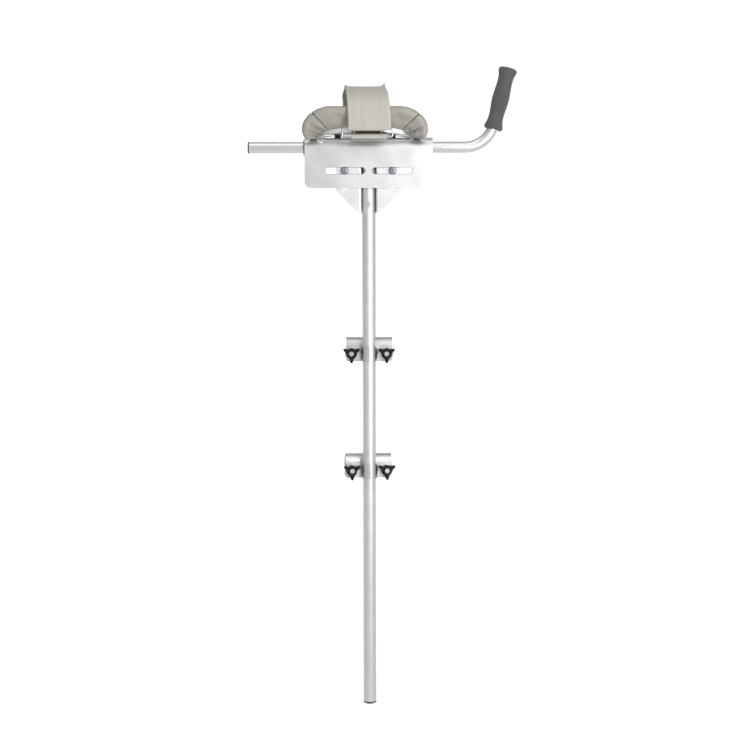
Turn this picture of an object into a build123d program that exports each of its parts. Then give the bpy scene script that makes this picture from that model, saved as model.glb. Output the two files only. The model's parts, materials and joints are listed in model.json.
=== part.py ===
"""Forearm platform that clamps on the side rails of a walking frame, in millimetres.

Row frame: the origin is on the axis of the rail held by the upper clamp, midway along the clamp.
+X points along the forearm towards the hand grip, +Y away from the knobs, +Z up.
"""

from math import cos, radians, sin, sqrt
import os

from build123d import *

# Tubes
POST_R = 11.11  # 7/8 in upright tube
POST_WALL = 1.6
POST_TOP = 303.0
POST_BOTTOM = -595.0
ARM_R = 9.525  # 3/4 in handle tube
ARM_WALL = 1.5
ARM_Z = 326.3
ARM_LEFT = -197.0
ARM_BEND_X = 158.5
ARM_BEND_R = 50.0
ARM_BEND_DEG = 75.7
ARM_STUB = 94.0  # straight end of the tube, inside the grip

# Running and standing clearances
RUN_GAP = 0.08
FACE_GAP = 0.05
SOFT_GAP = 1.4

# Rail clamps
RAIL_R = 11.11  # 7/8 in rail of the walking frame
HOOK_R = RAIL_R + RUN_GAP
HOOK_T = 1.9
HOOK_LENGTH = 77.0
HOOK_DROP = 27.0
RAIL_BACK = POST_R + RUN_GAP + HOOK_T + HOOK_R  # from the post's axis back to the rail's
CLAMP_BOLT_X = 29.2
CLAMP_BOLT_Z = -14.25
CLAMP_BOLT_R = 3.0
BOLT_SOCKET_R = 1.5
BAND_T = 1.8
BAND_HEIGHT = 24.6
BAND_HALF = CLAMP_BOLT_X + BAND_HEIGHT / 2 - 0.7
FLANGE_FRONT = 7.0  # behind the post's axis
CLAMPS = {"upper": (0.0, 0.0), "lower": (-194.6, 6.0)}  # height of the rail, turn about the post

# Three-armed knobs
KNOB_HEIGHT = 13.5
KNOB_SKIRT_R = 9.2
KNOB_HUB_R = 5.6
KNOB_TIP_R = 2.3
KNOB_REACH = 13.2  # from the bolt to the middle of an arm's tip
KNOB_SKIRT_H = 6.0
INSERT_R = 4.0
WASHER_R = 11.6
WASHER_T = 1.2

# Upright bracket: a hat section open towards the knobs
POST_Y = -RAIL_BACK
SHEET = 3.0
BRACKET_T = 2.5
CHANNEL_HALF = 12.4
WING_HALF = 53.8
WING_LOW = 255.0
BRACKET_LOW = 219.0
WING_TIP = 17.6
POST_BOLT_Z = 232.5

# Saddle: a plate rolled round the handle tube, with one long slotted leg
EYE_R = 13.2
SADDLE_HALF = 105.4
SADDLE_LOW = 259.0
SADDLE_CORNER = 10.8
SLOT_X = 38.7
SLOT_Z = 287.4
SLOT_LENGTH = 66.0
SLOT_HEIGHT = 10.4
SLOT_CHAMFER = 0.8
SADDLE_BOLT_X = 39.5
SADDLE_BOLT_R = 4.0
SADDLE_HEAD_R = 6.4
LOCK_X = 46.0

# Platform
PAN_X = -5.9
PAN_HALF_LENGTH = 85.0
PAN_HALF_WIDTH = 40.0
PAN_R = 88.0
PAN_T = 2.0
PAN_LIP = 5.6
PAN_TOP = 347.8
PAN_FLAT_HALF = 64.0  # beyond it the pan's ends turn down
PAN_TURN_R = 22.0
PAN_AXIS_Z = PAN_TOP + PAN_R
PAN_SCREW_X = 45.0
PAD_HALF_LENGTH = 103.0
PAD_HALF_WIDTH = 56.0
PAD_TURN_Z = 342.0  # height that the pad's ends wrap down about
PAD_TURN_ANGLE = 94.0
PAD_RIM_Z = 390.6
PAD_VALLEY_Z = 371.0

# Strap and its rings
RING_Y = 60.0
RING_X = -1.7
RING_WIRE_R = 1.9
RING_HALF = 42.5
RING_TOP_Z = 352.7
RING_LOW_Z = 339.6
STRAP_HALF = 35.0
STRAP_T = 2.0
RIVET_X = 22.0
RIVET_Y = 26.0
RIVET_R = 2.0
RIVET_HEAD_Z = 344.2
RIVET_LENGTH = 7.4


def plan(height=0.0, turn=0.0):
    """Level plane at a height, its origin on the post's axis; turn is about that axis."""
    across = (cos(radians(turn)), sin(radians(turn)), 0)
    return Plane(origin=(0, POST_Y, height), x_dir=across, z_dir=(0, 0, 1))


def facing(depth=0.0, height=0.0, turn=0.0):
    """Upright plane looking towards the knob side, depth millimetres behind the post's axis."""
    across = Vector(cos(radians(turn)), sin(radians(turn)), 0)
    back = Vector(-sin(radians(turn)), cos(radians(turn)), 0)
    origin = Vector(0, POST_Y, height) + back * depth
    return Plane(origin=origin, x_dir=across, z_dir=-back)


def profile_plane(start=0.0, height=0.0, turn=0.0):
    """Upright plane across X at start: its x runs back from the post's axis, its y up."""
    across = Vector(cos(radians(turn)), sin(radians(turn)), 0)
    back = Vector(-sin(radians(turn)), cos(radians(turn)), 0)
    origin = Vector(0, POST_Y, height) + across * start
    return Plane(origin=origin, x_dir=back, z_dir=across)


def rear_facing(depth=0.0, height=0.0):
    """Upright plane looking away from the knobs of the clamps; its x runs towards -X."""
    return Plane(origin=(0, POST_Y + depth, height), x_dir=(-1, 0, 0), z_dir=(0, 1, 0))


os.makedirs("parts", exist_ok=True)


def save(builder, name):
    builder.part.label = name
    export_step(builder.part, f"parts/{name}.step")


# ---------------------------------------------------------------- post and its bracket

with BuildPart() as post_tube:
    with BuildSketch(plan(POST_BOTTOM)):
        Circle(POST_R)
        Circle(POST_R - POST_WALL, mode=Mode.SUBTRACT)
    extrude(amount=POST_TOP - POST_BOTTOM)
    with BuildSketch(facing(POST_R * 2, POST_BOLT_Z)):
        Circle(2.6)
    extrude(amount=POST_R * 4, mode=Mode.SUBTRACT)
save(post_tube, "post_tube")

with BuildPart() as post_end_plug:
    with BuildSketch(plan(POST_BOTTOM - 2.2)):
        Circle(POST_R)
    extrude(amount=2.2 - FACE_GAP)
    with BuildSketch(plan(POST_BOTTOM - 2.2)):
        Circle(POST_R - 1.6)
    extrude(amount=-2.0, taper=45)
    with BuildSketch(plan(POST_BOTTOM - 1.0)):
        Circle(POST_R - POST_WALL - FACE_GAP)
        Circle(POST_R - POST_WALL - 2.0, mode=Mode.SUBTRACT)
    extrude(amount=21.0)
save(post_end_plug, "post_end_plug")

wing_front = -(EYE_R - 0.15)
with BuildPart() as upright_bracket:
    with BuildSketch(plan(BRACKET_LOW)) as hat:
        with Locations((0, wing_front)):
            Rectangle(2 * WING_HALF, BRACKET_T, align=(Align.CENTER, Align.MIN))
            channel_depth = POST_R + RUN_GAP + BRACKET_T - wing_front
            Rectangle(
                2 * (CHANNEL_HALF + BRACKET_T), channel_depth, align=(Align.CENTER, Align.MIN)
            )
            Rectangle(
                2 * CHANNEL_HALF,
                channel_depth - BRACKET_T,
                align=(Align.CENTER, Align.MIN),
                mode=Mode.SUBTRACT,
            )
        mouth = [v for v in hat.vertices() if abs(abs(v.X) - CHANNEL_HALF) < 0.1 and v.Y < 0]
        fillet(mouth, 2.2)
    extrude(amount=POST_TOP - BRACKET_LOW)
    with BuildSketch(facing()):
        with BuildLine():
            Polyline(
                (-WING_HALF, POST_TOP),
                (WING_HALF, POST_TOP),
                (WING_HALF, WING_LOW),
                (WING_TIP, BRACKET_LOW),
                (-WING_TIP, BRACKET_LOW),
                (-WING_HALF, WING_LOW),
                close=True,
            )
        make_face()
    extrude(amount=30, both=True, mode=Mode.INTERSECT)
    with BuildSketch(facing(wing_front + BRACKET_T + 3)):
        wing_slot_low, wing_slot_high = 256.6, 296.0
        with Locations(
            (-SADDLE_BOLT_X, (wing_slot_low + wing_slot_high) / 2),
            (SADDLE_BOLT_X, (wing_slot_low + wing_slot_high) / 2),
        ):
            SlotOverall(wing_slot_high - wing_slot_low, 8.6, rotation=90)
    extrude(amount=10, mode=Mode.SUBTRACT)
    with BuildSketch(facing(20, POST_BOLT_Z)):
        Circle(2.6)
    extrude(amount=12, mode=Mode.SUBTRACT)
save(upright_bracket, "upright_bracket")

web_back = POST_R + RUN_GAP + BRACKET_T
with BuildPart() as post_bolt:
    with BuildSketch(facing(web_back + 5.6, POST_BOLT_Z)):
        Circle(2.5)
    extrude(amount=web_back + 5.6 + POST_R + 1.0)
    with BuildSketch(facing(-POST_R - FACE_GAP, POST_BOLT_Z)):
        Circle(4.15)
    extrude(amount=3.0)
    fillet(post_bolt.faces().sort_by(Axis.Y)[0].edges(), 1.4)
    with BuildSketch(facing(-POST_R - 3.2, POST_BOLT_Z)):
        RegularPolygon(1.5, 6)
    extrude(amount=-1.6, mode=Mode.SUBTRACT)
save(post_bolt, "post_bolt")

with BuildPart() as post_nut:
    with BuildSketch(rear_facing(web_back + FACE_GAP, POST_BOLT_Z)):
        RegularPolygon(4.6, 6)
        Circle(2.52, mode=Mode.SUBTRACT)
    extrude(amount=4.6)
save(post_nut, "post_nut")

# ---------------------------------------------------------------- bolts that hold the saddle

bolt_places = [(-SADDLE_BOLT_X, 0), (SADDLE_BOLT_X, 0)]
saddle_front = -(EYE_R + SHEET)
washer_front = wing_front + BRACKET_T + FACE_GAP
WASHER_THICK = 1.5
NUT_HEIGHT = 6.4
with BuildPart() as saddle_bolts:
    with BuildSketch(facing(saddle_front - FACE_GAP, SLOT_Z)):
        with Locations(*bolt_places):
            Circle(SADDLE_HEAD_R)
    extrude(amount=3.8)
    fillet(saddle_bolts.faces().group_by(Axis.Y)[0].edges(), 3.0)
    with BuildSketch(facing(0, SLOT_Z)):
        with Locations(*bolt_places):
            Circle(SADDLE_BOLT_R)
    extrude(amount=-saddle_front + 1.0)
save(saddle_bolts, "saddle_bolts")

with BuildPart() as saddle_washers:
    with BuildSketch(facing(washer_front + WASHER_THICK, SLOT_Z)):
        with Locations(*bolt_places):
            Circle(8.4)
            Circle(SADDLE_BOLT_R + 0.05, mode=Mode.SUBTRACT)
    extrude(amount=WASHER_THICK)
save(saddle_washers, "saddle_washers")

with BuildPart() as saddle_nuts:
    with BuildSketch(facing(washer_front + WASHER_THICK + FACE_GAP + NUT_HEIGHT, SLOT_Z)):
        with Locations(*bolt_places):
            RegularPolygon(7.5, 6)
            Circle(SADDLE_BOLT_R + 0.03, mode=Mode.SUBTRACT)
    extrude(amount=NUT_HEIGHT)
save(saddle_nuts, "saddle_nuts")

# ---------------------------------------------------------------- saddle

with BuildPart() as saddle_plate:
    with BuildSketch(profile_plane(-SADDLE_HALF, ARM_Z)):
        Circle(EYE_R + SHEET)
        Circle(EYE_R, mode=Mode.SUBTRACT)
        with BuildLine():
            Polyline((0, 0), (-30, 0), (-30, -39.8), (23, -39.8), close=True)
        make_face(mode=Mode.SUBTRACT)
        with Locations((saddle_front, 0)):
            Rectangle(SHEET, ARM_Z - SADDLE_LOW, align=(Align.MIN, Align.MAX))
    extrude(amount=2 * SADDLE_HALF)
    fillet(saddle_plate.edges().filter_by(Axis.Y).group_by(Axis.Z)[0], SADDLE_CORNER)
    with BuildSketch(facing(saddle_front + SHEET + 1, SLOT_Z)):
        with Locations((-SLOT_X, 0), (SLOT_X, 0)):
            SlotOverall(SLOT_LENGTH, SLOT_HEIGHT)
    extrude(amount=SHEET + 2, mode=Mode.SUBTRACT)
    front_rims = saddle_plate.faces().sort_by(Axis.Y)[0].inner_wires().edges()
    chamfer(front_rims, SLOT_CHAMFER)
    with BuildSketch(plan(ARM_Z + EYE_R - 1)):
        with Locations((PAN_X - PAN_SCREW_X, 0), (PAN_X + PAN_SCREW_X, 0)):
            Circle(2.55)
    extrude(amount=SHEET + 3, mode=Mode.SUBTRACT)
    with BuildSketch(rear_facing(EYE_R - 2, ARM_Z)):
        with Locations((-LOCK_X, 0)):
            Circle(3.2)
    extrude(amount=SHEET + 4, mode=Mode.SUBTRACT)
save(saddle_plate, "saddle_plate")

boss_back = EYE_R + SHEET + 4.6
with BuildPart() as lock_boss:
    with BuildSketch(rear_facing(EYE_R + SHEET - 3, ARM_Z)):
        with Locations((-LOCK_X, 0)):
            Circle(7.5)
            Circle(CLAMP_BOLT_R + RUN_GAP, mode=Mode.SUBTRACT)
    extrude(amount=7.6)
    with BuildSketch(profile_plane(LOCK_X - 15, ARM_Z)):
        Circle(EYE_R + SHEET)
    extrude(amount=30, mode=Mode.SUBTRACT)
save(lock_boss, "lock_boss")

# ---------------------------------------------------------------- platform pan and its screws

pan_screw_places = [(PAN_X - PAN_SCREW_X, 0), (PAN_X + PAN_SCREW_X, 0)]
rivet_places = [
    (RING_X + side * RIVET_X, face * RIVET_Y) for side in (-1, 1) for face in (-1, 1)
]


def along_platform(section, flat_half, turn_z, angle):
    """Solid of one section along the platform, whose ends turn down about a cross axis."""
    with BuildPart() as run:
        with BuildSketch(profile_plane(PAN_X - flat_half)):
            add(section)
        extrude(amount=2 * flat_half)
        for side in (-1, 1):
            with BuildSketch(profile_plane(PAN_X + side * flat_half)):
                add(section)
            axis = Axis((PAN_X + side * flat_half, POST_Y, turn_z), (0, side, 0))
            revolve(axis=axis, revolution_arc=angle)
    return run.part


def trough(inner, outer):
    """Trough between two radii, long and wide enough for the pan."""
    with BuildSketch() as band:
        with Locations((0, PAN_AXIS_Z)):
            Circle(outer)
            Circle(inner, mode=Mode.SUBTRACT)
        with Locations((0, PAN_TOP)):
            Rectangle(2 * PAD_HALF_WIDTH, 2 * (PAN_TURN_R - 1), mode=Mode.INTERSECT)
    return along_platform(band.sketch, PAN_FLAT_HALF, PAN_TOP - PAN_TURN_R, 80)


def saddle_roll(clearance):
    """Round top of the saddle plate, a little larger, that the platform's ends straddle."""
    with BuildPart() as roll:
        with BuildSketch(profile_plane(-SADDLE_HALF - 2, ARM_Z)):
            Circle(EYE_R + SHEET + clearance)
        extrude(amount=2 * SADDLE_HALF + 4)
    return roll.part


with BuildPart() as pan_lip:
    with BuildSketch(plan(PAN_TOP - 30)):
        with Locations((PAN_X, 0)):
            Ellipse(PAN_HALF_LENGTH, PAN_HALF_WIDTH)
            Ellipse(PAN_HALF_LENGTH - PAN_T, PAN_HALF_WIDTH - PAN_T, mode=Mode.SUBTRACT)
    extrude(amount=50)
    add(trough(PAN_R, PAN_R + PAN_LIP), mode=Mode.INTERSECT)

with BuildPart() as platform_pan:
    with BuildSketch(plan(PAN_TOP - 30)):
        with Locations((PAN_X, 0)):
            Ellipse(PAN_HALF_LENGTH, PAN_HALF_WIDTH)
    extrude(amount=50)
    add(trough(PAN_R, PAN_R + PAN_T), mode=Mode.INTERSECT)
    add(pan_lip.part)
    add(saddle_roll(0.8), mode=Mode.SUBTRACT)
    with BuildSketch(plan(PAN_TOP - 10)):
        with Locations(*pan_screw_places):
            Circle(2.55)
        with Locations(*rivet_places):
            Circle(RIVET_R + 0.05)
    extrude(amount=30, mode=Mode.SUBTRACT)
save(platform_pan, "platform_pan")

pan_under = PAN_TOP - PAN_T
with BuildPart() as pan_spacers:
    with BuildSketch(plan(ARM_Z + EYE_R)):
        with Locations(*pan_screw_places):
            Circle(5.4)
            Circle(2.6, mode=Mode.SUBTRACT)
    extrude(amount=pan_under - FACE_GAP - ARM_Z - EYE_R)
    with BuildSketch(profile_plane(-SADDLE_HALF, ARM_Z)):
        Circle(EYE_R + SHEET)
    extrude(amount=2 * SADDLE_HALF, mode=Mode.SUBTRACT)
save(pan_spacers, "pan_spacers")

with BuildPart() as pan_screws:
    with BuildSketch(plan(ARM_Z + EYE_R + 0.2)):
        with Locations(*pan_screw_places):
            Circle(2.5)
    extrude(amount=PAN_TOP + 0.6 - ARM_Z - EYE_R)
    with BuildSketch(plan(PAN_TOP + 0.2)):
        with Locations(*pan_screw_places):
            Circle(5.0)
    extrude(amount=1.0)
save(pan_screws, "pan_screws")

# ---------------------------------------------------------------- pad (soft)

# The section starts a little below the pan's top; the room cut for the pan shapes its underside.
pad_under = PAN_AXIS_Z - sqrt((PAN_R + 1) ** 2 - PAN_HALF_WIDTH**2)
with BuildSketch() as pad_section:
    with BuildLine():
        under = ThreePointArc(
            (-PAN_HALF_WIDTH, pad_under),
            (0, PAN_TOP - 1),
            (PAN_HALF_WIDTH, pad_under),
        )
        far_side = Spline(
            under @ 1,
            (PAD_HALF_WIDTH - 1, PAD_RIM_Z - 25),
            (PAD_HALF_WIDTH - 2, PAD_RIM_Z - 10),
            (43, PAD_RIM_Z),
            tangents=((1, 0), (-1, 0)),
        )
        valley = Spline(far_side @ 1, (0, PAD_VALLEY_Z), (-43, PAD_RIM_Z), tangents=((-1, 0), (-1, 0)))
        Spline(
            valley @ 1,
            (-PAD_HALF_WIDTH + 2, PAD_RIM_Z - 10),
            (-PAD_HALF_WIDTH + 1, PAD_RIM_Z - 25),
            under @ 0,
            tangents=((-1, 0), (1, 0)),
        )
    make_face()

with BuildPart() as pan_room:
    with BuildSketch(plan(PAN_TOP - 30)):
        with Locations((PAN_X, 0)):
            Ellipse(PAN_HALF_LENGTH + SOFT_GAP, PAN_HALF_WIDTH + SOFT_GAP)
    extrude(amount=50)
    add(trough(PAN_R - SOFT_GAP, PAN_R + 20), mode=Mode.INTERSECT)

pad_turn_reach = PAD_RIM_Z - PAD_TURN_Z
with BuildPart() as pad:
    add(along_platform(pad_section.sketch, PAD_HALF_LENGTH - pad_turn_reach, PAD_TURN_Z, PAD_TURN_ANGLE))
    with BuildSketch(plan(PAD_TURN_Z - 20)):
        with Locations((PAN_X, 0)):
            RectangleRounded(2 * PAD_HALF_LENGTH, 2 * PAD_HALF_WIDTH + 2, 40)
    extrude(amount=80, mode=Mode.INTERSECT)
    add(pan_room.part, mode=Mode.SUBTRACT)
    add(saddle_roll(SOFT_GAP), mode=Mode.SUBTRACT)
save(pad, "pad")

# ---------------------------------------------------------------- rings, webbing and rivets


def ring_path(side):
    ring_mid = (RING_TOP_Z + RING_LOW_Z) / 2
    with BuildSketch(facing(side * RING_Y, ring_mid)) as outline:
        with Locations((RING_X, 0)):
            RectangleRounded(
                2 * (RING_HALF - RING_WIRE_R), RING_TOP_Z - RING_LOW_Z, 3.5
            )
    return outline.sketch.face().outer_wire()


for name, side in (("near_ring", -1), ("far_ring", 1)):
    with BuildPart() as ring:
        path = ring_path(side)
        start = Plane(origin=(RING_X, POST_Y + side * RING_Y, RING_LOW_Z), z_dir=(1, 0, 0))
        with BuildSketch(start):
            Circle(RING_WIRE_R)
        sweep(path=path)
    save(ring, name)


def ribbon(points, half_thickness):
    """Closed outline of a band of webbing that follows the points, in the current sketch."""
    with BuildLine():
        Polyline(*points)
        outline = offset(amount=half_thickness, side=Side.BOTH, mode=Mode.REPLACE)
    make_face(outline.edges())


loop_in = RING_WIRE_R + 0.1
loop_out = loop_in + STRAP_T
for name, side in (("near_anchor_strap", -1), ("far_anchor_strap", 1)):
    with BuildPart() as anchor:
        with BuildSketch(profile_plane(RING_X - STRAP_HALF)):
            ribbon(
                [
                    (side * (RING_Y - 2.6), RING_LOW_Z + 2.0),
                    (side * 43, 345.4),
                    (side * 34, 346.1),
                    (side * 26, 346.6),
                    (side * 18, 346.1),
                ],
                STRAP_T / 2,
            )
            with Locations((side * RING_Y, RING_LOW_Z)):
                Circle(loop_out)
                Circle(loop_in, mode=Mode.SUBTRACT)
        extrude(amount=2 * STRAP_HALF)
        with BuildSketch(plan(PAN_TOP - 12)):
            with Locations(*[place for place in rivet_places if place[1] * side > 0]):
                Circle(RIVET_R + 0.05)
        extrude(amount=30, mode=Mode.SUBTRACT)
    save(anchor, name)

with BuildPart() as strap_rivets:
    with BuildSketch(plan(RIVET_HEAD_Z)):
        with Locations(*rivet_places):
            Circle(RIVET_R)
    extrude(amount=RIVET_LENGTH)
    with BuildSketch(plan(RIVET_HEAD_Z)):
        with Locations(*rivet_places):
            Circle(3.6)
    extrude(amount=1.0)
save(strap_rivets, "strap_rivets")

strap_side = [(60.0, 355.6), (60.4, 369.0), (59.4, 384.5), (53.5, 396.0), (40.0, 403.5), (2.0, 424.6)]
with BuildPart() as forearm_strap:
    with BuildSketch(profile_plane(RING_X - STRAP_HALF)):
        near_half = [(-y, z) for y, z in strap_side]
        ribbon(near_half + strap_side[::-1], STRAP_T / 2)
        with Locations((-RING_Y, RING_TOP_Z), (RING_Y, RING_TOP_Z)):
            Circle(loop_out)
            Circle(loop_in, mode=Mode.SUBTRACT)
    extrude(amount=2 * STRAP_HALF)
save(forearm_strap, "forearm_strap")

# ---------------------------------------------------------------- handle tube, liner and grip

with BuildPart() as arm_liner:
    with BuildSketch(profile_plane(-SADDLE_HALF - 1.9, ARM_Z)):
        Circle(EYE_R - RUN_GAP)
        Circle(ARM_R + RUN_GAP, mode=Mode.SUBTRACT)
        with Locations((0, -EYE_R)):
            Rectangle(2.0, EYE_R, mode=Mode.SUBTRACT)
    extrude(amount=2 * SADDLE_HALF + 1.4)
save(arm_liner, "arm_liner")

with BuildLine(facing(0, ARM_Z)) as arm_path:
    straight = Line((ARM_LEFT, 0), (ARM_BEND_X, 0))
    bend = JernArc(start=straight @ 1, tangent=(1, 0), radius=ARM_BEND_R, arc_size=ARM_BEND_DEG)
    Line(bend @ 1, bend @ 1 + (bend % 1) * ARM_STUB)
tube_end = arm_path.line @ 1
lean = arm_path.line % 1


def arm_solid(radius, wall):
    """Handle tube of a given outer radius along its bent path; no wall means solid."""
    with BuildPart() as bar:
        with BuildSketch(profile_plane(ARM_LEFT, ARM_Z)):
            Circle(radius)
            if wall:
                Circle(radius - wall, mode=Mode.SUBTRACT)
        sweep(path=arm_path.line)
    return bar.part


with BuildPart() as arm_tube:
    add(arm_solid(ARM_R, ARM_WALL))
save(arm_tube, "arm_tube")

with BuildPart() as arm_end_plug:
    with BuildSketch(profile_plane(ARM_LEFT - FACE_GAP, ARM_Z)):
        Circle(ARM_R)
    extrude(amount=-2.2)
    fillet(arm_end_plug.faces().sort_by(Axis.X)[0].edges(), 1.2)
    with BuildSketch(profile_plane(ARM_LEFT - 1.0, ARM_Z)):
        Circle(ARM_R - ARM_WALL - FACE_GAP)
        Circle(ARM_R - ARM_WALL - 2.0, mode=Mode.SUBTRACT)
    extrude(amount=19.0)
save(arm_end_plug, "arm_end_plug")

GRIP_LENGTH = 104.0
GRIP_ON_BEND = 8.7  # the grip's foot reaches back over the end of the bend
grip_foot = tube_end - lean * (ARM_STUB + GRIP_ON_BEND)
with BuildPart() as hand_grip:
    with BuildSketch(Plane(origin=grip_foot, x_dir=lean, z_dir=(0, -1, 0))):
        with BuildLine():
            foot = Polyline((0, 0), (0, 13.0))
            side = Spline(
                foot @ 1,
                (2.6, 15.3),
                (9.0, 14.3),
                (17.0, 12.6),
                (50.0, 14.1),
                (83.0, 12.4),
                (93.5, 14.0),
                (100.5, 15.2),
                (GRIP_LENGTH - 0.6, 12.0),
            )
            Polyline(side @ 1, (GRIP_LENGTH, 9.0), (GRIP_LENGTH, 0), (0, 0))
        make_face()
    revolve(axis=Axis(grip_foot, lean))
    add(arm_solid(ARM_R + FACE_GAP, 0), mode=Mode.SUBTRACT)
save(hand_grip, "hand_grip")

# ---------------------------------------------------------------- knobs, their inserts and washers


def knob_body(base):
    """Three-armed knob that stands on the plane and is bored for its insert."""
    with BuildPart() as body:
        with BuildSketch(base):
            Circle(KNOB_SKIRT_R)
        extrude(amount=KNOB_SKIRT_H + 1, taper=3)
        for angle in (30, 150, 270):
            tip = (KNOB_REACH * cos(radians(angle)), KNOB_REACH * sin(radians(angle)))
            with BuildSketch(base.offset(KNOB_SKIRT_H)):
                Circle(KNOB_HUB_R)
                with Locations(tip):
                    Circle(KNOB_TIP_R)
                make_hull()
            extrude(amount=KNOB_HEIGHT - KNOB_SKIRT_H)
        outline = body.faces().filter_by(lambda f: abs((f.center() - base.origin).dot(base.z_dir)
                                                       - KNOB_HEIGHT) < 0.01)
        fillet(outline.edges(), 1.0)
        with BuildSketch(base):
            Circle(INSERT_R + FACE_GAP)
        extrude(amount=KNOB_HEIGHT, mode=Mode.SUBTRACT)
    return body.part


def knob_insert(base):
    """Threaded metal bush in the knob; the thread is a plain bore."""
    with BuildPart() as bush:
        with BuildSketch(base):
            Circle(INSERT_R)
            Circle(CLAMP_BOLT_R + RUN_GAP, mode=Mode.SUBTRACT)
        extrude(amount=KNOB_HEIGHT + 0.3)
    return bush.part


def washer(base):
    with BuildPart() as ring_washer:
        with BuildSketch(base):
            Circle(WASHER_R)
            Circle(CLAMP_BOLT_R + 0.2, mode=Mode.SUBTRACT)
        extrude(amount=WASHER_T)
    return ring_washer.part


def knob_set(prefix, seat):
    """Washer, knob and insert stacked on a seat plane."""
    with BuildPart() as washer_part:
        add(washer(seat.offset(FACE_GAP)))
    save(washer_part, f"{prefix}_washer")
    knob_base = seat.offset(WASHER_T + 2 * FACE_GAP)
    with BuildPart() as knob_part:
        add(knob_body(knob_base))
    save(knob_part, f"{prefix}_knob")
    with BuildPart() as insert_part:
        add(knob_insert(knob_base))
    save(insert_part, f"{prefix}_insert")


# ---------------------------------------------------------------- rail clamps

for name, (rail_z, turn) in CLAMPS.items():
    with BuildPart() as hook:
        with BuildSketch(profile_plane(-HOOK_LENGTH / 2, rail_z, turn)):
            with Locations((RAIL_BACK, 0)):
                Circle(HOOK_R + HOOK_T)
                Rectangle(2 * (HOOK_R + HOOK_T), HOOK_DROP, align=(Align.CENTER, Align.MAX))
                Circle(HOOK_R, mode=Mode.SUBTRACT)
                Rectangle(
                    2 * HOOK_R, HOOK_DROP, align=(Align.CENTER, Align.MAX), mode=Mode.SUBTRACT
                )
        extrude(amount=HOOK_LENGTH)
        with BuildSketch(facing(RAIL_BACK, rail_z, turn)) as front_view:
            with Locations((0, -HOOK_DROP)):
                Rectangle(HOOK_LENGTH, HOOK_DROP + 20, align=(Align.CENTER, Align.MIN))
            fillet(front_view.vertices().group_by(Axis.Y)[0], 3)
        extrude(amount=30, both=True, mode=Mode.INTERSECT)
        with BuildSketch(facing(RAIL_BACK, rail_z + CLAMP_BOLT_Z, turn)):
            with Locations((-CLAMP_BOLT_X, 0), (CLAMP_BOLT_X, 0)):
                Circle(CLAMP_BOLT_R + 0.2)
        extrude(amount=30, both=True, mode=Mode.SUBTRACT)
    save(hook, f"{name}_rail_hook")

    band_low = rail_z + CLAMP_BOLT_Z - BAND_HEIGHT / 2
    with BuildPart() as band:
        with BuildSketch(plan(band_low, turn)) as band_profile:
            band_inner = POST_R + RUN_GAP
            band_outer = band_inner + BAND_T
            Circle(band_outer)
            Rectangle(2 * band_outer, FLANGE_FRONT + BAND_T, align=(Align.CENTER, Align.MIN))
            with Locations((0, FLANGE_FRONT)):
                Rectangle(2 * BAND_HALF, BAND_T, align=(Align.CENTER, Align.MIN))
            Circle(band_inner, mode=Mode.SUBTRACT)
            Rectangle(2 * band_inner, 20, align=(Align.CENTER, Align.MIN), mode=Mode.SUBTRACT)
            bends = [v for v in band_profile.vertices()
                     if abs(abs(v.X) - band_outer) < 0.01 and abs(v.Y - FLANGE_FRONT) < 0.01]
            fillet(bends, 2.0)
        extrude(amount=BAND_HEIGHT)
        with BuildSketch(facing(0, rail_z + CLAMP_BOLT_Z, turn)):
            SlotOverall(2 * BAND_HALF, BAND_HEIGHT)
        extrude(amount=30, both=True, mode=Mode.INTERSECT)
        with BuildSketch(facing(FLANGE_FRONT + 4, rail_z + CLAMP_BOLT_Z, turn)):
            with Locations((-CLAMP_BOLT_X, 0), (CLAMP_BOLT_X, 0)):
                Circle(CLAMP_BOLT_R + 0.2)
        extrude(amount=8, mode=Mode.SUBTRACT)
    save(band, f"{name}_post_band")

    head_seat = RAIL_BACK + HOOK_R + HOOK_T + FACE_GAP
    bolt_end = FLANGE_FRONT - WASHER_T - 2 * FACE_GAP - KNOB_HEIGHT + 0.3
    with BuildPart() as clamp_bolts:
        with BuildSketch(facing(head_seat, rail_z + CLAMP_BOLT_Z, turn)):
            with Locations((-CLAMP_BOLT_X, 0), (CLAMP_BOLT_X, 0)):
                Circle(CLAMP_BOLT_R)
        extrude(amount=head_seat - bolt_end)
        with BuildSketch(facing(head_seat, rail_z + CLAMP_BOLT_Z, turn)):
            with Locations((-CLAMP_BOLT_X, 0), (CLAMP_BOLT_X, 0)):
                Circle(7.0)
        extrude(amount=-3.2, taper=35)
        with BuildSketch(facing(bolt_end - 1, rail_z + CLAMP_BOLT_Z, turn)):
            with Locations((-CLAMP_BOLT_X, 0), (CLAMP_BOLT_X, 0)):
                RegularPolygon(BOLT_SOCKET_R, 6)
        extrude(amount=-3.5, mode=Mode.SUBTRACT)
    save(clamp_bolts, f"{name}_clamp_bolts")

    for hand, sign in (("left", -1), ("right", 1)):
        seat = facing(FLANGE_FRONT, rail_z + CLAMP_BOLT_Z, turn)
        seat.origin = seat.origin + seat.x_dir * (sign * CLAMP_BOLT_X)
        knob_set(f"{name}_{hand}", seat)

# ---------------------------------------------------------------- lock for the handle tube

lock_seat = rear_facing(boss_back, ARM_Z)
lock_seat.origin = lock_seat.origin + Vector(LOCK_X, 0, 0)
knob_set("arm_lock", lock_seat)

with BuildPart() as arm_lock_screw:
    with BuildSketch(rear_facing(EYE_R + 0.35, ARM_Z)):
        with Locations((-LOCK_X, 0)):
            Circle(CLAMP_BOLT_R)
    extrude(amount=boss_back + WASHER_T + KNOB_HEIGHT - 2.0 - EYE_R - 0.35)
save(arm_lock_screw, "arm_lock_screw")
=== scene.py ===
"""Looks of the forearm platform for a walking frame, in metres, in the CAD model's frame."""

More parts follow.
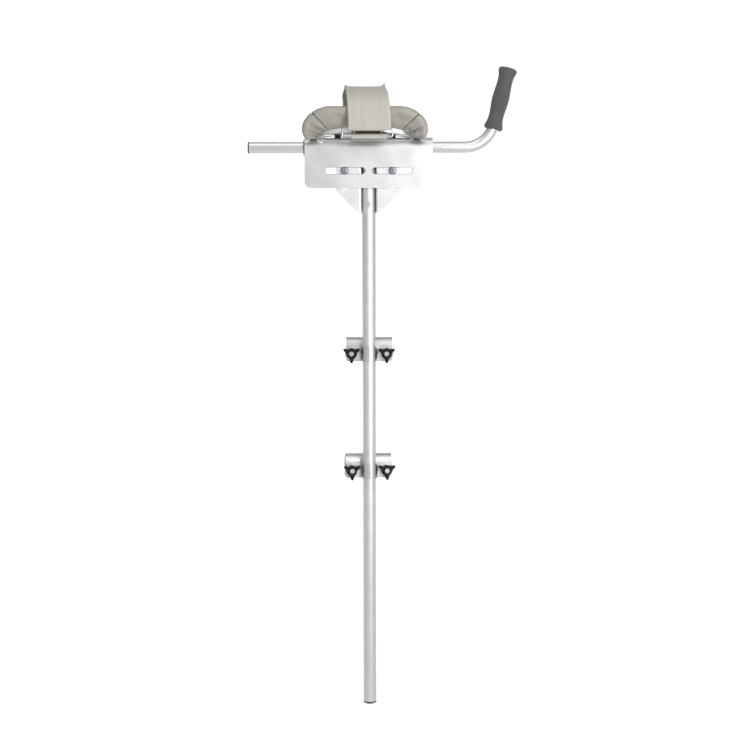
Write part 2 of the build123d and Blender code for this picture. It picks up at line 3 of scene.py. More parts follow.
from math import cos, radians, sin, tau
import json

import bmesh
import bpy
from mathutils import Euler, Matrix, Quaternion, Vector


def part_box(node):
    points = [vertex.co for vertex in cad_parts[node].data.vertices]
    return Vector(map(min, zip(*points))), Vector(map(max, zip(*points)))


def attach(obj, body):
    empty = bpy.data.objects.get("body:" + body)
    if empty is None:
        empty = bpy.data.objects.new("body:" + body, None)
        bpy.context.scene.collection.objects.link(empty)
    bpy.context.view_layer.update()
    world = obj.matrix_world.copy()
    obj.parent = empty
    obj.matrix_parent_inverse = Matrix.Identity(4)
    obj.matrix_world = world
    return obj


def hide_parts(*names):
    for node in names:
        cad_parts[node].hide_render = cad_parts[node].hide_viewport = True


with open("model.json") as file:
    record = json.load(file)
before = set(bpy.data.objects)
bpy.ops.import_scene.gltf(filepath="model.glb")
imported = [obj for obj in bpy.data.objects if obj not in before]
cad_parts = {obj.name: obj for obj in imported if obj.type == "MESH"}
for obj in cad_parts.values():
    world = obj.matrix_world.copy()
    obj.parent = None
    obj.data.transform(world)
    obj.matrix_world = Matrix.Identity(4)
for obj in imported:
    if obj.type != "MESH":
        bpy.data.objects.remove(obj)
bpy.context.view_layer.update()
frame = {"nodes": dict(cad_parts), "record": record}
nodes = frame["nodes"]
scene = bpy.context.scene

post_low, post_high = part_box("post_tube")
POST_Y = (post_low.y + post_high.y) / 2
POST_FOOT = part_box("post_end_plug")[0].z

# ---------------------------------------------------------------- camera

CAMERA_DISTANCE = 3.15  # from the post
CAMERA_X = 0.0096
CAMERA_Z = 0.1101
CAMERA_PITCH = radians(-2.9)
CAMERA_ROLL = radians(-0.13)


def add_camera():
    data = bpy.data.cameras.new("camera")
    data.lens = 91.2
    data.sensor_width = 36.0
    camera = bpy.data.objects.new("camera", data)
    scene.collection.objects.link(camera)
    camera.location = (CAMERA_X, POST_Y - CAMERA_DISTANCE, CAMERA_Z)
    camera.rotation_mode = "QUATERNION"
    level = Euler((radians(90) + CAMERA_PITCH, 0, 0)).to_quaternion()
    camera.rotation_quaternion = level @ Quaternion((0, 0, 1), CAMERA_ROLL)
    scene.camera = camera


add_camera()

# ---------------------------------------------------------------- node helpers


class Nodes:
    """Short way to build a material's node tree, starting from its Principled shader."""

    def __init__(self, name):
        self.material = bpy.data.materials.new(name)
        self.material.use_nodes = True
        self.tree = self.material.node_tree
        self.shader = self.tree.nodes["Principled BSDF"]

    def node(self, kind, links=(), **values):
        made = self.tree.nodes.new(kind)
        for key, value in values.items():
            if key in made.inputs:
                made.inputs[key].default_value = value
            else:
                setattr(made, key, value)
        for socket, source in dict(links).items():
            self.tree.links.new(source, made.inputs[socket])
        return made

    def place(self, scale=(1, 1, 1)):
        """Position on the object, in metres, times a scale."""
        where = self.node("ShaderNodeTexCoord").outputs["Object"]
        mapping = self.node("ShaderNodeMapping", {"Vector": where})
        mapping.inputs["Scale"].default_value = scale
        return mapping.outputs["Vector"]

    def noise(self, scale, vector, detail=3.0, roughness=0.5):
        made = self.node("ShaderNodeTexNoise", {"Vector": vector})
        made.inputs["Scale"].default_value = scale
        made.inputs["Detail"].default_value = detail
        made.inputs["Roughness"].default_value = roughness
        return made.outputs["Fac"]

    def span(self, value, low, high, start=0.0, stop=1.0):
        """Map value from low..high to start..stop, clamped."""
        made = self.node("ShaderNodeMapRange", {"Value": value})
        made.inputs["From Min"].default_value = low
        made.inputs["From Max"].default_value = high
        made.inputs["To Min"].default_value = start
        made.inputs["To Max"].default_value = stop
        return made.outputs["Result"]

    def mix(self, factor, first, second):
        """Blend two colours; each is a socket or an RGB tuple."""
        made = self.node("ShaderNodeMix")
        made.data_type = "RGBA"
        self.tree.links.new(factor, made.inputs[0])
        for socket, colour in ((made.inputs[6], first), (made.inputs[7], second)):
            if isinstance(colour, tuple):
                socket.default_value = (*colour, 1)
            else:
                self.tree.links.new(colour, socket)
        return made.outputs[2]

    def math(self, operation, first, second=0.0):
        made = self.node("ShaderNodeMath")
        made.operation = operation
        for socket, value in zip(made.inputs, (first, second)):
            if isinstance(value, (int, float)):
                socket.default_value = value
            else:
                self.tree.links.new(value, socket)
        return made.outputs[0]

    def bump(self, height, distance, strength=1.0):
        made = self.node("ShaderNodeBump", {"Height": height})
        made.inputs["Distance"].default_value = distance
        made.inputs["Strength"].default_value = strength
        return made.outputs["Normal"]

    def set(self, **values):
        """Set the shader's sockets, by name with underscores for spaces."""
        for key, value in values.items():
            socket = self.shader.inputs[key.replace("_", " ")]
            if isinstance(value, bpy.types.NodeSocket):
                self.tree.links.new(value, socket)
            elif isinstance(value, tuple) and len(value) == 3 and socket.type == "RGBA":
                socket.default_value = (*value, 1)
            else:
                socket.default_value = value


# ---------------------------------------------------------------- metals and plastics


def satin_metal(name, colour, roughness, stretch, grain=0.00002):
    """Drawn or rolled aluminium: fine lines along one axis, soft blotches and a little speckle."""
    m = Nodes(name)
    lines = m.noise(2400, m.place(stretch), detail=4)
    blotches = m.noise(35, m.place(), detail=4)
    speckle = m.noise(5200, m.place(), detail=1)
    tint = m.span(blotches, 0.3, 0.7, 0.0, 1.0)
    dark = tuple(c * 0.93 for c in colour)
    base = m.mix(tint, dark, colour)
    streaked = m.mix(m.span(lines, 0.35, 0.65, 0.0, 0.35), base, tuple(c * 0.88 for c in colour))
    m.set(
        Base_Color=streaked,
        Metallic=1.0,
        Roughness=m.span(m.math("ADD", lines, blotches), 0.7, 1.3, roughness - 0.05, roughness + 0.07),
        Normal=m.bump(m.math("ADD", lines, m.math("MULTIPLY", speckle, 0.6)), grain, 0.5),
    )
    return m.material


def plated_steel(name, colour, roughness):
    m = Nodes(name)
    clouds = m.noise(220, m.place(), detail=3)
    grain = m.noise(6000, m.place(), detail=2)
    m.set(
        Base_Color=m.mix(m.span(clouds, 0.35, 0.65), tuple(c * 0.82 for c in colour), colour),
        Metallic=1.0,
        Roughness=m.span(clouds, 0.3, 0.7, roughness, roughness + 0.12),
        Normal=m.bump(grain, 0.00001, 0.6),
    )
    return m.material


def moulded_plastic(name, colour, roughness, grain, shine=0.5):
    m = Nodes(name)
    clouds = m.noise(90, m.place(), detail=3)
    grit = m.noise(2600, m.place(), detail=3)
    m.set(
        Base_Color=m.mix(m.span(clouds, 0.3, 0.7), colour, tuple(c * 1.3 for c in colour)),
        Roughness=m.span(grit, 0.3, 0.7, roughness, roughness + 0.12),
        Normal=m.bump(grit, grain, 0.6),
        Specular_IOR_Level=shine,
    )
    return m.material


def foam_material():
    """Closed-cell foam: dark grey with a fine pitted skin."""
    m = Nodes("grip_foam")
    cells = m.node("ShaderNodeTexVoronoi", {"Vector": m.place()}, Scale=1500.0).outputs["Distance"]
    grit = m.noise(1900, m.place(), detail=4, roughness=0.7)
    wear = m.noise(60, m.place(), detail=3)
    skin = m.mix(m.span(grit, 0.3, 0.7), (0.047, 0.048, 0.05), (0.098, 0.099, 0.102))
    m.set(
        Base_Color=m.mix(m.span(wear, 0.35, 0.75, 0.0, 0.35), skin, (0.12, 0.12, 0.124)),
        Roughness=0.85,
        Normal=m.bump(m.math("ADD", cells, grit), 0.00022, 0.8),
        Sheen_Weight=0.2,
        Sheen_Roughness=0.5,
    )
    return m.material


# The aluminium copies below differ in base colour as painted light and shade; they also differ in roughness
# and line direction.
MATERIALS = {
    "tube_aluminium": satin_metal("tube_aluminium", (0.815, 0.818, 0.82), 0.48, (1, 1, 0.02), 0.000005),
    "arm_aluminium": satin_metal("arm_aluminium", (0.83, 0.833, 0.837), 0.28, (0.02, 1, 1), 0.0000015),
    "plate_aluminium": satin_metal("plate_aluminium", (0.79, 0.79, 0.794), 0.36, (0.015, 1, 1), 0.00003),
    "bracket_aluminium": satin_metal("bracket_aluminium", (0.86, 0.86, 0.86), 0.36, (0.015, 1, 1), 0.00003),
    "pan_aluminium": satin_metal("pan_aluminium", (0.95, 0.95, 0.95), 0.3, (0.03, 1, 1), 0.00002),
    "clamp_aluminium": satin_metal("clamp_aluminium", (0.71, 0.708, 0.702), 0.36, (0.03, 1, 1), 0.00003),
    "zinc_steel": plated_steel("zinc_steel", (0.78, 0.79, 0.8), 0.24),
    "dark_zinc_steel": plated_steel("dark_zinc_steel", (0.36, 0.4, 0.45), 0.2),
    "chrome_wire": plated_steel("chrome_wire", (0.6, 0.62, 0.65), 0.1),
    "black_plastic": moulded_plastic("black_plastic", (0.006, 0.006, 0.0065), 0.36, 0.00003, 0.22),
    "grey_plastic": moulded_plastic("grey_plastic", (0.045, 0.055, 0.07), 0.5, 0.00004),
    "nylon_liner": moulded_plastic("nylon_liner", (0.03, 0.03, 0.033), 0.4, 0.00003),
    "grip_foam": foam_material(),
}
SLOT_OF = {row["node"]: row["material_slot"] for row in frame["record"]["subparts"]}
# Parts that take a lighter or darker copy of the aluminium, as painted light and shade.
METAL_COPY_OF = {
    "arm_tube": "arm_aluminium",  # its drawn lines run the other way from the post's
    "upright_bracket": "bracket_aluminium",
    "platform_pan": "pan_aluminium",
    "upper_rail_hook": "clamp_aluminium",
    "lower_rail_hook": "clamp_aluminium",
    "upper_post_band": "clamp_aluminium",
    "lower_post_band": "clamp_aluminium",
}


def material_of(node):
    """Material of a CAD node; the aluminium parts get lighter and darker copies of one metal, painted light
    and shade that set how bright each part comes out.
    """
    return MATERIALS.get(METAL_COPY_OF.get(node, SLOT_OF[node]))


for name, obj in nodes.items():
    if material_of(name):
        obj.data.materials.clear()
        obj.data.materials.append(material_of(name))

# ---------------------------------------------------------------- pad and strap materials

VINYL = (0.335, 0.318, 0.288)
# Near-black painted shade for the seam grooves, not the vinyl's own colour.
PAINTED_SEAM_SHADE = (0.035, 0.031, 0.026)
WEBBING = (0.47, 0.445, 0.40)
STITCH_THREAD = (0.56, 0.54, 0.5)
# Webbing, in metres.
WEAVE_PITCH = 0.0012
STITCH_PITCH = 0.0032
STITCH_INSET = 0.0042


def vinyl_material():
    """Grey-beige upholstery vinyl: pebbled grain, soft blotches, painted shade in the seams."""
    m = Nodes("pad_vinyl")
    pebbles = m.node("ShaderNodeTexVoronoi", {"Vector": m.place()}, Scale=1300.0).outputs["Distance"]
    grain = m.noise(3200, m.place(), detail=3)
    blotches = m.noise(28, m.place(), detail=4)
    seam = m.node("ShaderNodeAttribute", attribute_name="seam").outputs["Fac"]
    worn = m.mix(m.span(blotches, 0.3, 0.7), VINYL, tuple(c * 1.12 for c in VINYL))
    m.set(
        # Painted shade: the seams are darkened nearly to black, standing in for the shade in their grooves.
        Base_Color=m.mix(m.span(seam, 0.3, 0.85, 0.0, 0.95), worn, PAINTED_SEAM_SHADE),
        Roughness=m.span(m.math("ADD", grain, blotches), 0.7, 1.3, 0.38, 0.5),
        Normal=m.bump(m.math("ADD", pebbles, grain), 0.00012, 0.5),
        Specular_IOR_Level=0.45,
        Sheen_Weight=0.08,
        Sheen_Roughness=0.4,
    )
    return m.material


def webbing_material():
    """Coated beige cloth: fine plain weave, painted shade stripes along it, turned hems and a line of
    stitches inside each edge.
    """
    m = Nodes("webbing")
    across = m.node("ShaderNodeAttribute", attribute_name="across").outputs["Fac"]
    along = m.node("ShaderNodeAttribute", attribute_name="along").outputs["Fac"]
    edge = m.node("ShaderNodeAttribute", attribute_name="edge").outputs["Fac"]

    def threads(place):
        return m.math("SINE", m.math("MULTIPLY", place, tau / WEAVE_PITCH))

    weave = m.math("MULTIPLY", threads(across), threads(along))
    fuzz = m.noise(2600, m.place(), detail=3)
    # Painted shade: soft lighter and darker stripes along the strap stand in for the shading of its soft
    # waves.
    shade = m.noise(1, m.place((90, 14, 10)), detail=4)
    off_line = m.math("ABSOLUTE", m.math("SUBTRACT", edge, STITCH_INSET))
    on_line = m.span(off_line, 0.0004, 0.0009, 1.0, 0.0)
    place = m.math("ADD", across, along)
    dash = m.span(m.math("SINE", m.math("MULTIPLY", place, tau / STITCH_PITCH)), -0.3, 0.1)
    stitch = m.math("MULTIPLY", on_line, dash)
    hem = m.span(edge, 0.0056, 0.0066, 1.0, 0.0)
    cloth = m.mix(m.span(shade, 0.3, 0.7), WEBBING, tuple(c * 1.14 for c in WEBBING))
    tinted = m.mix(m.span(weave, -1, 1, 0, 0.25), cloth, tuple(c * 0.8 for c in WEBBING))
    height = m.math("ADD", m.math("MULTIPLY", weave, 0.25), m.math("MULTIPLY", fuzz, 0.5))
    height = m.math("ADD", height, m.math("MULTIPLY", hem, 2.2))
    height = m.math("SUBTRACT", height, m.math("MULTIPLY", on_line, 1.0))
    m.set(
        Base_Color=m.mix(stitch, tinted, STITCH_THREAD),
        Roughness=m.span(fuzz, 0.3, 0.7, 0.62, 0.8),
        Normal=m.bump(height, 0.0002, 0.6),
        Specular_IOR_Level=0.3,
        Sheen_Weight=0.15,
        Sheen_Roughness=0.5,
    )
    return m.material


MATERIALS["pad_vinyl"] = vinyl_material()
MATERIALS["webbing"] = webbing_material()


def add_piece(name, slot, body, replaced, mesh):
    obj = bpy.data.objects.new(name, mesh)
    scene.collection.objects.link(obj)
    mesh.materials.append(MATERIALS[slot])
    mesh.polygons.foreach_set("use_smooth", [True] * len(mesh.polygons))
    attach(obj, body)
    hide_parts(replaced)
    return obj


def set_attribute(mesh, name, values):
    made = mesh.attributes.new(name, "FLOAT", "POINT")
    made.data.foreach_set("value", values)


# ---------------------------------------------------------------- pad

# In millimetres, about the pad's middle and the height that its ends wrap down about.
MM = 0.001
PAD_X = -5.85
PAD_TURN = 49.2
PAD_TURN_Z = 342.0
PAN_LENGTH, PAN_WIDTH, PAN_R, PAN_HEIGHT = 86.0, 40.0, 88.0, 5.8
PAN_FLAT, PAN_TURN_R = 64.0, 22.0
PAD_END = 95.0
SEAM_AT = {-1: 45.0, 1: 48.5}  # degrees, at the left and the right end
SEAM_HALF = 1.5  # degrees from a seam to the section on each side of it
ON_SEAM, NEAR_SEAM = 0.1, 1.6  # degrees within which a section is on a seam, or beside it
# Height of the rim, from the pivot, as the end wraps down: degrees, millimetres.
RIM = [(0, 48.6), (17, 50.3), (39, 53.3), (53, 55.4), (65, 56.3), (76, 55.3), (85, 53.1), (95, 48.0)]
# Half section from the pan's edge round the side and over the rim into the trough.
SIDE = [(45.0, 22.5), (49.0, 30.0), (54.6, 38.6), (52.8, 45.6), (43.5, 48.6)]
TROUGH = [(33.5, 45.6), (20.5, 36.6), (9.0, 30.2), (0.0, 29.0)]
PAN_EDGE_PLACE = 8  # points of a section from the middle of its underside to the pan's edge
SWELL_STEPS = 20
# These are in metres.
SWELL_CAP = 0.006
GATHER_DEPTH, DENT_DEPTH = 0.0034, 0.0018
GROOVE_DEPTH, SEAM_LIP, SEAM_SHOULDER = 0.0024, 0.0008, 0.0002
SADDLE_ROLL_R, SADDLE_ROLL_Z = 0.0171, 0.3263


def between(table, at):
    """Value from a table of (place, value), straight between its places."""
    for (a, low), (b, high) in zip(table, table[1:]):
        if at <= b:
            t = max(0.0, (at - a) / (b - a))
            return low + (high - low) * t
    return table[-1][1]


def catmull(points, steps):
    """Smooth closed or open line through 2-D points."""
    line = []
    ends = [points[0]] + points + [points[-1]]
    for a, b, c, d in zip(ends, ends[1:], ends[2:], ends[3:]):
        for i in range(steps):
            t = i / steps
            line.append(
                tuple(
                    0.5 * (2 * q + (r - p) * t + (2 * p - 5 * q + 4 * r - s) * t * t
                           + (3 * q - p - 3 * r + s) * t * t * t)
                    for p, q, r, s in zip(a, b, c, d)
                )
            )
    line.append(points[-1])
    return line


def pan_edge(x):
    """Half width of the pan at x from its middle."""
    return PAN_WIDTH * max(0.004, 1 - (x / PAN_LENGTH) ** 2) ** 0.5


def pan_height(x, y):
    past = min(max(0.0, x - PAN_FLAT), PAN_TURN_R - 0.5)
    return PAN_HEIGHT + y * y / (2 * PAN_R) - PAN_TURN_R + (PAN_TURN_R**2 - past**2) ** 0.5


def on_pan(start, angle, part, gap):
    """Where a ray from the pivot meets the pan: its reach and the half width there times part."""
    low, high = 0.0, 60.0
    for _ in range(30):
        reach = (low + high) / 2
        x = start + reach * sin(angle)
        y = pan_edge(x) * part
        if reach * cos(angle) < pan_height(x, y) + gap:
            low = reach
        else:
            high = reach
    return reach, y


def pad_section(start, degrees_round):
    """Closed outline (y, reach) of the pad, start from its middle, wrapped down by an angle."""
    angle = radians(degrees_round)
    taller = between(catmull(RIM, 6), degrees_round) / RIM[0][1]
    narrower = 1 - 0.2 * (degrees_round / PAD_END) ** 2.2
    flatter = 0.2 * (degrees_round / PAD_END) ** 2
    edge_reach, edge_y = on_pan(start, angle, 1.0, 0.6)
    under_reach, under_y = on_pan(start, angle, 0.6, 1.3)
    middle_reach, _ = on_pan(start, angle, 0.0, 1.3)
    # The side keeps its share of the way from the pan's edge to the rim.
    low, high = PAN_HEIGHT + PAN_WIDTH**2 / (2 * PAN_R), RIM[0][1]
    side = [
        (y * narrower, edge_reach + (r - low) / (high - low) * (high * taller - edge_reach))
        for y, r in SIDE
    ]
    tuck = (edge_y + 0.55 * (side[0][0] - edge_y), edge_reach + 0.42 * (side[0][1] - edge_reach))
    trough = [(y * narrower, (r + (RIM[0][1] - r) * flatter) * taller) for y, r in TROUGH]
    half = [(0.0, middle_reach), (under_y, under_reach), (edge_y + 0.8, edge_reach), tuck] + side + trough
    line = catmull(half, 4)
    return line + [(-y, r) for y, r in line[-2:0:-1]]


def pad_stations():
    """(start, side, angle) of each section, from the left end to the right."""

    def wrapped(seam):
        before = [seam * i / 15 for i in range(1, 15)]
        after = [seam + (PAD_END - seam) * i / 20 for i in range(1, 21)]
        return before + [seam - SEAM_HALF, seam, seam + SEAM_HALF] + after

    steps = 30
    middle = [(abs(x), 1 if x > 0 else -1, 0.0) for x in
              (PAD_TURN * (2 * i / steps - 1) for i in range(steps + 1))]
    left = [(PAD_TURN, -1, a) for a in reversed(wrapped(SEAM_AT[-1]))]
    return left + middle + [(PAD_TURN, 1, a) for a in wrapped(SEAM_AT[1])]


def pad_grid():
    """Rows of points of the pad's surface, in metres, with each row's angle."""
    rows, angles = [], []
    for start, side, turned in pad_stations():
        angle = radians(turned)
        rows.append([
            Vector(((PAD_X + side * (start + reach * sin(angle))) * MM, POST_Y + y * MM,
                    (PAD_TURN_Z + reach * cos(angle)) * MM))
            for y, reach in pad_section(start, turned)
        ])
        angles.append((side, turned))
    return rows, angles


def grid_mesh(name, rows, closed_ends):
    """Quads between rows of points, each row a closed ring."""
    count = len(rows[0])
    faces = []
    for i in range(len(rows) - 1):
        for j in range(count):
            k = (j + 1) % count
            faces.append((i * count + j, i * count + k, (i + 1) * count + k, (i + 1) * count + j))
    points = [p for row in rows for p in row]
    if closed_ends:
        for first in (0, (len(rows) - 1) * count):
            ring = list(range(first, first + count))
            for shrink in (0.66, 0.33):
                middle = sum((points[i] for i in ring), Vector()) / count
                base = len(points)
                points += [middle + (points[i] - middle) * shrink for i in ring]
                new = list(range(base, base + count))
                faces += [
                    (ring[j], ring[(j + 1) % count], new[(j + 1) % count], new[j])
                    for j in range(count)
                ]
                ring = new
            faces.append(tuple(ring))
    mesh = bpy.data.meshes.new(name)
    mesh.from_pydata([tuple(p) for p in points], [], faces)
    cleaned = bmesh.new()
    cleaned.from_mesh(mesh)
    bmesh.ops.recalc_face_normals(cleaned, faces=cleaned.faces)
    cleaned.to_mesh(mesh)
    cleaned.free()
    return mesh


def swell(obj, pinned, slack, pressure, cap):
    """Blow the cover up from the inside with cloth; it moves no further than cap."""
    rest = [v.co.copy() for v in obj.data.vertices]
    for name, weights in (("pinned", pinned), ("slack", slack)):
        group = obj.vertex_groups.new(name=name)
        for i, weight in enumerate(weights):
            if weight > 0:
                group.add([i], weight, "REPLACE")
    cloth = obj.modifiers.new("cloth", "CLOTH")
    s = cloth.settings
    s.quality = 6
    s.mass = 0.25
    s.tension_stiffness = s.compression_stiffness = 14
    s.shear_stiffness = 6
    s.bending_stiffness = 0.35
    s.use_pressure = True
    s.uniform_pressure_force = pressure
    s.vertex_group_mass = "pinned"
    s.vertex_group_shrink = "slack"
    s.shrink_min = 0.0
    s.shrink_max = -0.14
    s.effector_weights.gravity = 0
    cloth.point_cache.frame_end = SWELL_STEPS
    for step in range(1, SWELL_STEPS + 1):
        scene.frame_set(step)
    graph = bpy.context.evaluated_depsgraph_get()
    moved = [v.co.copy() for v in obj.evaluated_get(graph).data.vertices]
    obj.modifiers.remove(cloth)
    obj.vertex_groups.clear()
    scene.frame_set(1)
    for v, before, after in zip(obj.data.vertices, rest, moved):
        move = after - before
        if move.length > cap:
            move = move.normalized() * cap
        v.co = before + move


def clear_of_saddle(point):
    """Lift a point off the rolled top of the saddle."""
    y = point.y - POST_Y
    if abs(y) < SADDLE_ROLL_R:
        point.z = max(point.z, SADDLE_ROLL_Z + (SADDLE_ROLL_R**2 - y * y) ** 0.5)


def pad_weights(angles, place):
    """How firmly each point is held, how much spare cover it has and how deep in a seam it is."""
    pinned, slack, seam = [], [], []
    for side, turned in angles:
        off = abs(turned - SEAM_AT[side])
        for spot in place:
            past_edge = spot - PAN_EDGE_PLACE
            under = 1.0 if past_edge <= 0 else max(0.0, 1 - past_edge / 3) * 0.6
            pinned.append(max(under, 0.85 if off < ON_SEAM else 0.0, 1.0 if turned > 92 else 0.0))
            slack.append(max(0.0, min(1.0, (turned - 40) / 20)) * max(0.0, 1 - abs(spot - 14) / 7))
            depth = 1.0 if off < ON_SEAM else 0.25 if off < NEAR_SEAM else 0.0
            seam.append(depth if past_edge > 0 else 0.0)
    return pinned, slack, seam


def press_gathers(mesh, angles, place, half):
    """Gathers where the cover is pulled in under the pan's ends, and slack dents in its sides."""
    count = len(place)
    normals = [v.normal.copy() for v in mesh.vertices]
    for i, (side, turned) in enumerate(angles):
        turn = radians(turned)
        for j, spot in enumerate(place):
            point = mesh.vertices[i * count + j]
            fold = max(0.0, min(1.0, (turned - 50) / 12)) * max(0.0, 1 - abs(spot - 16) / 11)
            phase = 0.9 if j < half else 2.2
            wave = sin(turn * 20 + side * 1.3 + phase) + 0.6 * sin(turn * 37 + side)
            side_face = max(0.0, 1 - abs(spot - 21) / 10) * max(0.0, 1 - turned / SEAM_AT[side])
            x = point.co.x / MM
            dent = sin(x * 0.13 + spot * 0.22) + 0.6 * sin(x * 0.07 - spot * 0.3)
            push = GATHER_DEPTH * fold * wave + DENT_DEPTH * side_face * dent
            point.co += normals[i * count + j] * push


def press_seams(mesh, angles, place):
    """A groove along each seam, with the cover puffed up a little beside it."""
    count = len(place)
    normals = [v.normal.copy() for v in mesh.vertices]
    for i, (side, turned) in enumerate(angles):
        off = turned - SEAM_AT[side]
        if abs(off) > NEAR_SEAM:
            continue
        push = -GROOVE_DEPTH if abs(off) < ON_SEAM else SEAM_LIP if off > 0 else SEAM_SHOULDER
        for j, spot in enumerate(place):
            if spot > PAN_EDGE_PLACE:
                mesh.vertices[i * count + j].co += normals[i * count + j] * push


def build_pad():
    rows, angles = pad_grid()
    count = len(rows[0])
    half = (count + 2) // 2
    # Points from the middle of the underside, counted the same way on both sides.
    place = [j if j < half else count - j for j in range(count)]
    mesh = grid_mesh("pad_cover", rows, closed_ends=True)
    pinned, slack, seam = pad_weights(angles, place)
    extra = len(mesh.vertices) - len(seam)  # in the closed ends
    pinned, slack, seam = pinned + [1.0] * extra, slack + [0.0] * extra, seam + [0.0] * extra
    pad = add_piece("pad_cover", "pad_vinyl", "platform", "pad", mesh)
    press_gathers(mesh, angles, place, half)
    swell(pad, pinned, slack, pressure=3.0, cap=SWELL_CAP)
    mesh.update()
    press_seams(mesh, angles, place)
    for v in mesh.vertices:
        clear_of_saddle(v.co)
    set_attribute(mesh, "seam", seam)
    smooth = pad.modifiers.new("smooth", "SUBSURF")
    smooth.levels = smooth.render_levels = 1


build_pad()

# ---------------------------------------------------------------- straps

RING_X = -1.7
NEAR_SIDE, FAR_SIDE = -1, 1
BAR_R = 2.9  # from the middle of a ring's wire to the middle of the strap round it
RING_Y, RING_TOP_Z, RING_LOW_Z = 60.0, 352.7, 339.6
STRAP_COLUMNS = 28
STRAP_THICKNESS, ANCHOR_THICKNESS = 1.6, 1.5
ANCHOR_LEFT, ANCHOR_RIGHT = RING_X - 26.5, RING_X + 31.5


def round_bar(y, z, start, stop, steps=9):
    """Points round a ring's bar, angles in degrees from straight back towards up."""
    turn = [radians(start + (stop - start) * i / steps) for i in range(steps + 1)]
    return [(y + BAR_R * cos(a), z + BAR_R * sin(a)) for a in turn]


def lengths(line):
    """Distance along a line at each of its points."""
    total, run = 0.0, [0.0]
    for (a, b), (c, d) in zip(line, line[1:]):
        total += ((c - a) ** 2 + (d - b) ** 2) ** 0.5
        run.append(total)
    return run


def build_strap(name, replaced, line, outline, thickness, lift=None):
    """Band of cloth along a line of (y, z); outline gives its left and right edge at a share."""
    run = lengths(line)
    verts, across, along, edge = [], [], [], []
    for i, (y, z) in enumerate(line):
        share = run[i] / run[-1]
        left, right = outline(share)
        for k in range(STRAP_COLUMNS + 1):
            a = 2 * k / STRAP_COLUMNS - 1
            x = (left + right) / 2 + a * (right - left) / 2
            dy, dz = lift(share, a) if lift else (0.0, 0.0)
            verts.append((x * MM, POST_Y + (y + dy) * MM, (z + dz) * MM))
            across.append(a * (right - left) / 2 * MM)
            along.append(run[i] * MM)
            edge.append(min((1 - abs(a)) * (right - left) / 2, run[i], run[-1] - run[i]) * MM)
    step = STRAP_COLUMNS + 1
    faces = [
        (i * step + k, i * step + k + 1, (i + 1) * step + k + 1, (i + 1) * step + k)
        for i in range(len(line) - 1) for k in range(STRAP_COLUMNS)
    ]
    mesh = bpy.data.meshes.new(name)
    mesh.from_pydata(verts, [], faces)
    for key, values in (("across", across), ("along", along), ("edge", edge)):
        set_attribute(mesh, key, values)
    strap = add_piece(name, "webbing", "platform", replaced, mesh)
    thick = strap.modifiers.new("thickness", "SOLIDIFY")
    thick.thickness = thickness * MM
    thick.offset = 0
    return strap, run[-1]


def forearm_line():
    """Sewn round the near ring, over the pad in a tent, round the far ring and back up."""
    over = [(61.2, 358.0), (61.5, 368.0), (60.4, 381.0), (56.6, 393.5), (49.0, 404.0), (37.0, 412.5),
            (19.0, 420.3), (4.0, 425.4)]
    near = catmull([(-y, z) for y, z in over] + [(0.0, 426.4)], 4)
    far = catmull([(0.0, 426.4)] + over[:0:-1] + [(59.3, 357.5)], 4)[1:]
    start = [(-59.5, 363.0), (-59.2, 358.5)] + round_bar(-RING_Y, RING_TOP_Z, 30, -180)
    stop = round_bar(RING_Y, RING_TOP_Z, 160, 350)
    tail = catmull([(63.0, 356.5), (63.4, 368.0), (62.4, 381.5), (58.6, 394.0), (53.5, 402.5)], 4)
    return start + near + far + stop + tail


# Left and right edge of the strap at a share of its length: it slants to the left over the crease.
LEFT = [
    (0, -33.4), (0.12, -33.2), (0.3, -36.5), (0.44, -39.0),
    (0.56, -44.0), (0.7, -39.5), (0.78, -38.0), (1, -43.5),
]
RIGHT = [
    (0, 36.0), (0.12, 36.2), (0.3, 31.5), (0.44, 26.5),
    (0.56, 26.5), (0.7, 31.0), (0.78, 33.0), (1, 27.0),
]
CREASE_AT = 0.44


def forearm_outline(share):
    return between(catmull(LEFT, 5), share), between(catmull(RIGHT, 5), share)


def forearm_lift(share, a):
    """Curled corners at the crease and a few soft waves."""
    near_crease = max(0.0, 1 - abs(share - CREASE_AT) / 0.05)
    corner = max(0.0, abs(a) - 0.72) / 0.28
    up = near_crease**2 * corner**2 * (6.5 if a > 0 else 3.5)
    sag = -0.8 * near_crease * (1 - a * a)
    return 0.25 * sin(a * 9 + share * 5), up + sag


def anchor_line(side):
    """Doubled under itself, round the ring's low bar, then in under the pan to its rivets."""
    under = catmull([(side * 46.0, 342.8), (side * 51.5, 341.6)], 2)
    start, stop = (-40, -290) if side < 0 else (220, 470)
    wrap = round_bar(side * RING_Y, RING_LOW_Z, start, stop, steps=14)
    top = [(52.0, 343.6), (43.0, 345.4), (34.0, 346.1), (26.0, 346.4), (18.0, 346.1)]
    return under + wrap + catmull([(side * y, z) for y, z in top], 4)


def build_straps():
    strap, length = build_strap(
        "forearm_strap_cloth", "forearm_strap", forearm_line(), forearm_outline, STRAP_THICKNESS, forearm_lift
    )
    for name, side in (("near_anchor", NEAR_SIDE), ("far_anchor", FAR_SIDE)):
        anchor, length = build_strap(
            f"{name}_cloth", f"{name}_strap", anchor_line(side),
            lambda share: (ANCHOR_LEFT, ANCHOR_RIGHT), ANCHOR_THICKNESS,
        )


build_straps()

# ---------------------------------------------------------------- floor, world and lights

FLOOR_DROP = 0.7  # the part hangs from its clamp, clear of the floor
FLOOR_HALF = 60


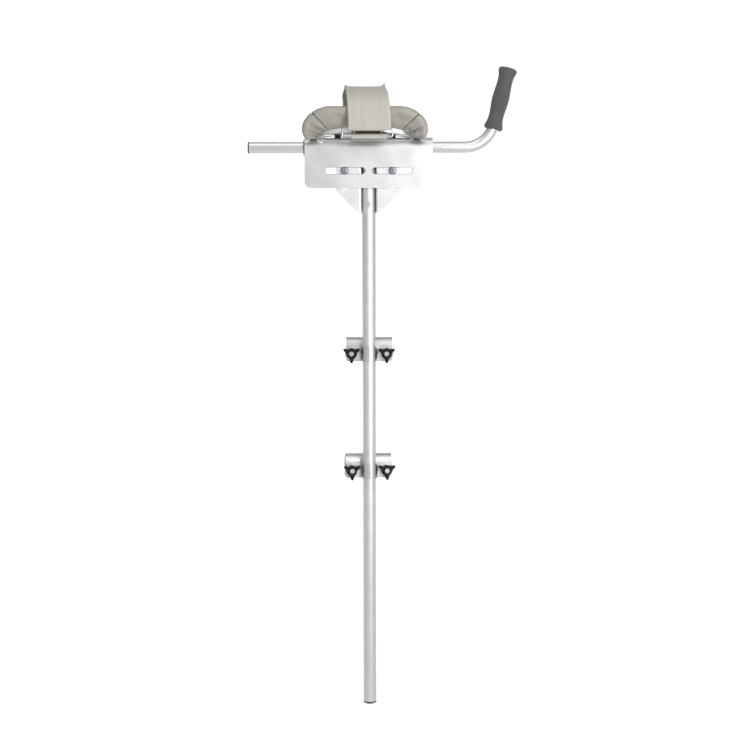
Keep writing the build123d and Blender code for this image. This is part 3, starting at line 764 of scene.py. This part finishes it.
def add_floor():
    mesh = bpy.data.meshes.new("floor")
    half = FLOOR_HALF
    corners = [(-half, -half, 0), (half, -half, 0), (half, half, 0), (-half, half, 0)]
    mesh.from_pydata(corners, [], [(0, 1, 2, 3)])
    floor = bpy.data.objects.new("floor", mesh)
    scene.collection.objects.link(floor)
    floor.location.z = POST_FOOT - FLOOR_DROP
    m = Nodes("floor")
    behind = m.node("ShaderNodeSeparateXYZ", {"Vector": m.place()}).outputs["Y"]
    m.set(
        Base_Color=(0.9, 0.9, 0.9),
        Roughness=0.8,
        Emission_Color=(1, 1, 1),
        Emission_Strength=m.span(behind, 1.5, 2.2, 0.18, 0.8),
    )
    mesh.materials.append(m.material)


def add_world():
    """White backdrop beyond the object, light grey studio elsewhere, brighter overhead."""
    world = bpy.data.worlds.new("studio")
    world.use_nodes = True
    scene.world = world
    tree = world.node_tree
    background = tree.nodes["Background"]
    where = tree.nodes.new("ShaderNodeTexCoord")
    split = tree.nodes.new("ShaderNodeSeparateXYZ")
    tree.links.new(where.outputs["Generated"], split.inputs[0])

    def ramp(source, low, high, start, stop):
        made = tree.nodes.new("ShaderNodeMapRange")
        made.interpolation_type = "SMOOTHSTEP"
        made.inputs["From Min"].default_value = low
        made.inputs["From Max"].default_value = high
        made.inputs["To Min"].default_value = start
        made.inputs["To Max"].default_value = stop
        tree.links.new(source, made.inputs["Value"])
        return made.outputs["Result"]

    def add(first, second):
        made = tree.nodes.new("ShaderNodeMath")
        made.operation = "ADD"
        tree.links.new(first, made.inputs[0])
        tree.links.new(second, made.inputs[1])
        return made.outputs[0]

    backdrop = ramp(split.outputs["Y"], 0.90, 0.955, 0.0, 0.75)
    front = ramp(split.outputs["Y"], -0.3, -0.9, 0.32, 0.68)
    overhead = ramp(split.outputs["Z"], 0.25, 0.9, 0.0, 0.2)
    total = add(add(backdrop, front), overhead)
    tree.links.new(total, background.inputs["Strength"])
    background.inputs["Color"].default_value = (1, 1, 1, 1)


def add_area(name, location, target, size, power):
    data = bpy.data.lights.new(name, "AREA")
    data.shape = "RECTANGLE"
    data.size, data.size_y = size
    data.energy = power
    light = bpy.data.objects.new(name, data)
    scene.collection.objects.link(light)
    light.location = location
    aim = Vector(target) - Vector(location)
    light.rotation_mode = "QUATERNION"
    light.rotation_quaternion = aim.to_track_quat("-Z", "Y")
    light.visible_camera = False


add_floor()
add_world()
add_area("key_softbox", (0.62, -1.15, 0.4), (0, 0, 0.25), (0.5, 1.3), 11)
add_area("top_softbox", (-0.2, -0.9, 2.2), (0, 0, 0.2), (1.6, 1.2), 5)
scene.view_settings.view_transform = "Standard"
